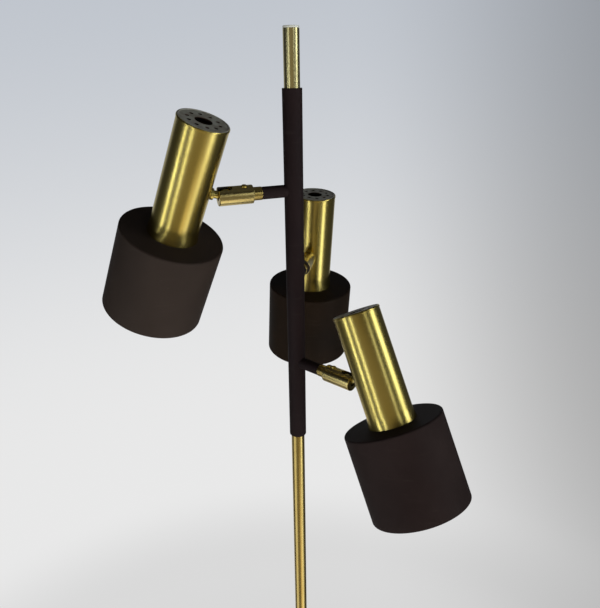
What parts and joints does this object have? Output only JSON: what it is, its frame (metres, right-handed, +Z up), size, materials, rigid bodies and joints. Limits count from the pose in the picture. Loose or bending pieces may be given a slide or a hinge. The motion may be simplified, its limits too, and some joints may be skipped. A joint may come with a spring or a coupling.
{
  "type": "tension pole lamp",
  "caption": "Slim brass pole clamped between floor and ceiling, with a brown sleeve whose short arms carry swivelling brass lamp housings with brown cylinder shades.",
  "frame": {"origin": "centre of the rubber foot's flat underside, on the pole's axis", "axes": "+Z up along the pole, +Y along the rear (middle) arm; the upper arm is turned 120 degrees and the lower arm 240 degrees from it"},
  "size_m": [0.4004, 0.3266, 2.45],
  "materials": {
    "satin_brass": "satin brass, finely scratched, lacquered",
    "brown_paint": "dark brown paint, satin",
    "steel": "zinc-plated steel",
    "rubber": "matt black rubber, hard in the friction pads",
    "pale_plastic": "pale nylon",
    "holder_ceramic": "white porcelain",
    "opal_glass": "opal glass"
  },
  "bodies": {
    "root": {"floor_foot": "rubber", "foot_plate": "steel", "lower_pole": "satin_brass", "cord_grommet": "rubber", "pole_joiner": "steel", "upper_pole": "satin_brass", "sleeve": "brown_paint", "lower_bush": "brown_paint", "top_bush": "satin_brass", "spring_seat": "steel", "plunger_spring": "steel", "rear_arm": "brown_paint", "rear_arm_nipple": "satin_brass", "rear_ferrule": "satin_brass", "left_arm": "brown_paint", "left_arm_nipple": "satin_brass", "left_ferrule": "satin_brass", "right_arm": "brown_paint", "right_arm_nipple": "satin_brass", "right_ferrule": "satin_brass"},
    "plunger": {"plunger_tube": "satin_brass", "ceiling_tip": "pale_plastic", "stop_collar": "steel"},
    "rear_swivel": {"rear_barrel": "satin_brass", "rear_ball_pad": "rubber", "rear_lock_screw": "satin_brass"},
    "rear_head": {"rear_stem": "satin_brass", "rear_stem_nut": "steel", "rear_bracket": "steel", "rear_holder_nipple": "steel", "rear_lampholder": "holder_ceramic", "rear_housing": "satin_brass", "rear_shade": "brown_paint", "rear_shade_ring": "holder_ceramic", "rear_bulb": "opal_glass"},
    "left_swivel": {"left_barrel": "satin_brass", "left_ball_pad": "rubber", "left_lock_screw": "satin_brass"},
    "left_head": {"left_stem": "satin_brass", "left_stem_nut": "steel", "left_bracket": "steel", "left_holder_nipple": "steel", "left_lampholder": "holder_ceramic", "left_housing": "satin_brass", "left_shade": "brown_paint", "left_shade_ring": "holder_ceramic", "left_bulb": "opal_glass"},
    "right_swivel": {"right_barrel": "satin_brass", "right_ball_pad": "rubber", "right_lock_screw": "satin_brass"},
    "right_head": {"right_stem": "satin_brass", "right_stem_nut": "steel", "right_bracket": "steel", "right_holder_nipple": "steel", "right_lampholder": "holder_ceramic", "right_housing": "satin_brass", "right_shade": "brown_paint", "right_shade_ring": "holder_ceramic", "right_bulb": "opal_glass"}
  },
  "joints": [
    {"name": "plunger_slide", "type": "slide", "parent": "root", "child": "plunger", "axis": [0, 0, 1], "range_m": [-0.04, 0], "stiffness_N_per_m": 2000, "springref_m": 0.004, "deforming": ["plunger_spring"]},
    {"name": "rear_turn", "type": "hinge", "parent": "root", "child": "rear_swivel", "pos_m": [0, 0.0445, 2.195], "axis": [0, 1, 0], "range_deg": [-164, 156]},
    {"name": "rear_tilt", "type": "hinge", "parent": "rear_swivel", "child": "rear_head", "pos_m": [0, 0.0725, 2.195], "axis": [0.9976, 0, -0.0698], "range_deg": [-5, 63]},
    {"name": "left_turn", "type": "hinge", "parent": "root", "child": "left_swivel", "pos_m": [-0.03854, -0.02225, 2.295], "axis": [-0.866, -0.5, 0], "range_deg": [-142, 178]},
    {"name": "left_tilt", "type": "hinge", "parent": "left_swivel", "child": "left_head", "pos_m": [-0.06279, -0.03625, 2.295], "axis": [-0.4755, 0.8236, 0.309], "range_deg": [-16, 52]},
    {"name": "right_turn", "type": "hinge", "parent": "root", "child": "right_swivel", "pos_m": [0.03854, -0.02225, 2.095], "axis": [0.866, -0.5, 0], "range_deg": [-156, 164]},
    {"name": "right_tilt", "type": "hinge", "parent": "right_swivel", "child": "right_head", "pos_m": [0.06279, -0.03625, 2.095], "axis": [-0.4988, -0.8639, 0.0698], "range_deg": [-27, 41]}
  ]
}
